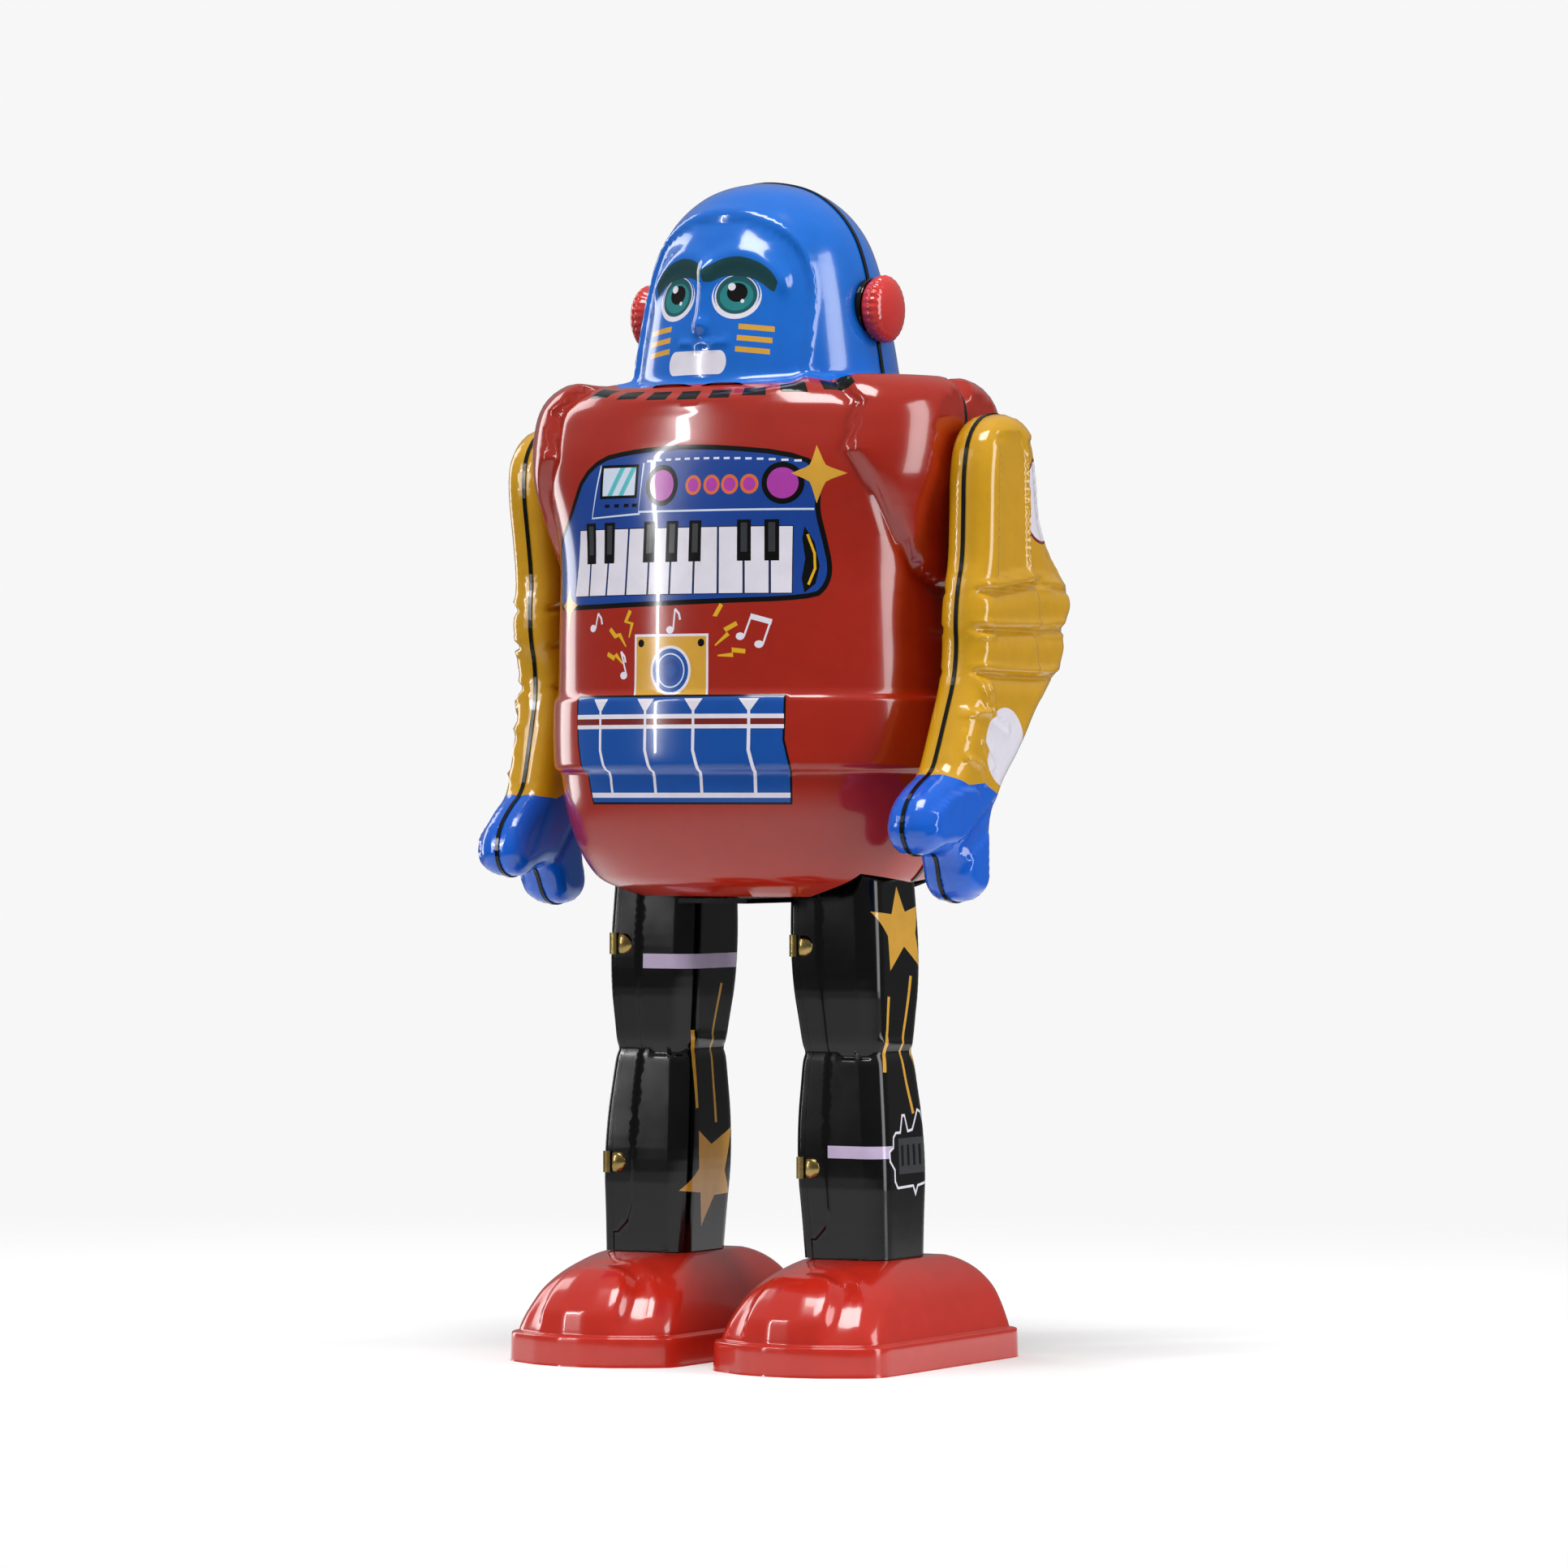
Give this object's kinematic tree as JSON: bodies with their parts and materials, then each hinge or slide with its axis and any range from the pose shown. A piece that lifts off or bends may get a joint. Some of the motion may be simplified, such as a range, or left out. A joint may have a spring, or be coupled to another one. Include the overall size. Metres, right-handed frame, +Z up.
{
  "type": "wind-up walking tin robot toy",
  "caption": "Wind-up walking tin robot: pressed body with domed head, swinging arms, hinged legs on broad feet, back key and a gear train inside.",
  "frame": {"origin": "middle of the bounding box's base, on the surface that the feet stand on", "axes": "+Z up, the robot faces -Y, its left side is +X; the key is at the back, towards +Y"},
  "size_m": [0.1156, 0.0934, 0.24],
  "materials": {
    "body_litho": "glossy printed lacquer, red torso and blue head",
    "ear_red": "glossy lacquer",
    "black_lacquer": "glossy lacquer with printed artwork on the legs",
    "arm_litho": "glossy printed lacquer, mustard sleeve and blue hand",
    "foot_red": "glossy lacquer",
    "plated_steel": "bright plating",
    "gear_brass": "stamped, slightly dull",
    "spring_steel": "blued",
    "roller_rubber": "matt"
  },
  "bodies": {
    "arm_left": {"arm_left_eyelet": "plated_steel", "arm_left_inner": "arm_litho", "arm_left_outer": "arm_litho"},
    "arm_right": {"arm_right_eyelet": "plated_steel", "arm_right_inner": "arm_litho", "arm_right_outer": "arm_litho"},
    "torso": {"back_shell": "body_litho", "base_plate": "black_lacquer", "ear_cap_left": "ear_red", "ear_cap_right": "ear_red", "ear_pad_left": "black_lacquer", "ear_pad_right": "black_lacquer", "front_shell": "body_litho", "hip_rod": "plated_steel", "mainspring": "spring_steel", "motor_back_plate": "plated_steel", "motor_bridge": "plated_steel", "motor_pillar_1": "plated_steel", "motor_pillar_2": "plated_steel", "motor_pillar_3": "plated_steel", "motor_pillar_4": "plated_steel", "shoulder_rod": "plated_steel"},
    "great": {"click": "plated_steel", "great_wheel": "gear_brass"},
    "crank": {"crank_disc_left": "plated_steel", "crank_disc_right": "plated_steel", "crank_shaft": "plated_steel"},
    "second": {"crown_wheel": "gear_brass", "second_arbor": "plated_steel"},
    "foot_left_front_roller_body": {"foot_left_front_roller": "roller_rubber"},
    "foot_left_pawl_body": {"foot_left_pawl": "plated_steel"},
    "foot_left_rear_roller_body": {"foot_left_rear_roller": "roller_rubber"},
    "leg_left": {"foot_left_shell": "foot_red", "foot_left_sole": "plated_steel", "leg_left_cover": "black_lacquer", "leg_left_lever": "plated_steel", "leg_left_wrap": "black_lacquer"},
    "foot_right_front_roller_body": {"foot_right_front_roller": "roller_rubber"},
    "foot_right_pawl_body": {"foot_right_pawl": "plated_steel"},
    "foot_right_rear_roller_body": {"foot_right_rear_roller": "roller_rubber"},
    "leg_right": {"foot_right_shell": "foot_red", "foot_right_sole": "plated_steel", "leg_right_cover": "black_lacquer", "leg_right_lever": "plated_steel", "leg_right_wrap": "black_lacquer"},
    "winder": {"key": "plated_steel", "ratchet_wheel": "plated_steel", "winding_arbor": "plated_steel"}
  },
  "joints": [
    {"name": "key_turn", "type": "hinge", "parent": "torso", "child": "winder", "pos_m": [0, 0.045, 0.139], "axis": [0, 1, 0], "continuous": true},
    {"name": "great_wheel_turn", "type": "hinge", "parent": "torso", "child": "great", "pos_m": [0, -0.0083, 0.139], "axis": [0, 1, 0], "continuous": true},
    {"name": "second_arbor_turn", "type": "hinge", "parent": "torso", "child": "second", "pos_m": [0, -0.0083, 0.1215], "axis": [0, 1, 0], "continuous": true},
    {"name": "crank_turn", "type": "hinge", "parent": "torso", "child": "crank", "pos_m": [0, -0.0083, 0.1215], "axis": [1, 0, 0], "continuous": true},
    {"name": "arm_left_swing", "type": "hinge", "parent": "torso", "child": "arm_left", "pos_m": [0.052, -0.0083, 0.1836], "axis": [1, 0, 0], "range_deg": [-170, 60]},
    {"name": "arm_right_swing", "type": "hinge", "parent": "torso", "child": "arm_right", "pos_m": [-0.052, -0.0083, 0.1836], "axis": [1, 0, 0], "range_deg": [-170, 48]},
    {"name": "leg_left_swing", "type": "hinge", "parent": "torso", "child": "leg_left", "pos_m": [0.0206, -0.0083, 0.1035], "axis": [1, 0, 0], "range_deg": [-9.6, 9.6]},
    {"name": "leg_right_swing", "type": "hinge", "parent": "torso", "child": "leg_right", "pos_m": [-0.0206, -0.0083, 0.1035], "axis": [1, 0, 0], "range_deg": [-9.6, 9.6]},
    {"name": "foot_left_front_roller_roll", "type": "hinge", "parent": "leg_left", "child": "foot_left_front_roller_body", "pos_m": [0.0239, -0.0323, 0.0035], "axis": [1, 0, 0], "continuous": true},
    {"name": "foot_left_rear_roller_roll", "type": "hinge", "parent": "leg_left", "child": "foot_left_rear_roller_body", "pos_m": [0.0239, 0.0087, 0.0035], "axis": [1, 0, 0], "continuous": true},
    {"name": "foot_left_pawl_tilt", "type": "hinge", "parent": "leg_left", "child": "foot_left_pawl_body", "pos_m": [0.0239, -0.0135, 0.0046], "axis": [1, 0, 0], "range_deg": [0, 18]},
    {"name": "foot_right_front_roller_roll", "type": "hinge", "parent": "leg_right", "child": "foot_right_front_roller_body", "pos_m": [-0.0239, -0.0323, 0.0035], "axis": [1, 0, 0], "continuous": true},
    {"name": "foot_right_rear_roller_roll", "type": "hinge", "parent": "leg_right", "child": "foot_right_rear_roller_body", "pos_m": [-0.0239, 0.0087, 0.0035], "axis": [1, 0, 0], "continuous": true},
    {"name": "foot_right_pawl_tilt", "type": "hinge", "parent": "leg_right", "child": "foot_right_pawl_body", "pos_m": [-0.0239, -0.0135, 0.0046], "axis": [1, 0, 0], "range_deg": [0, 18]}
  ],
  "couplings": [
    {"joint": "great_wheel_turn", "follows": "key_turn", "ratio": 1},
    {"joint": "second_arbor_turn", "follows": "key_turn", "ratio": -4},
    {"joint": "crank_turn", "follows": "key_turn", "ratio": 9.6},
    {"joint": "leg_right_swing", "follows": "leg_left_swing", "ratio": -1}
  ]
}
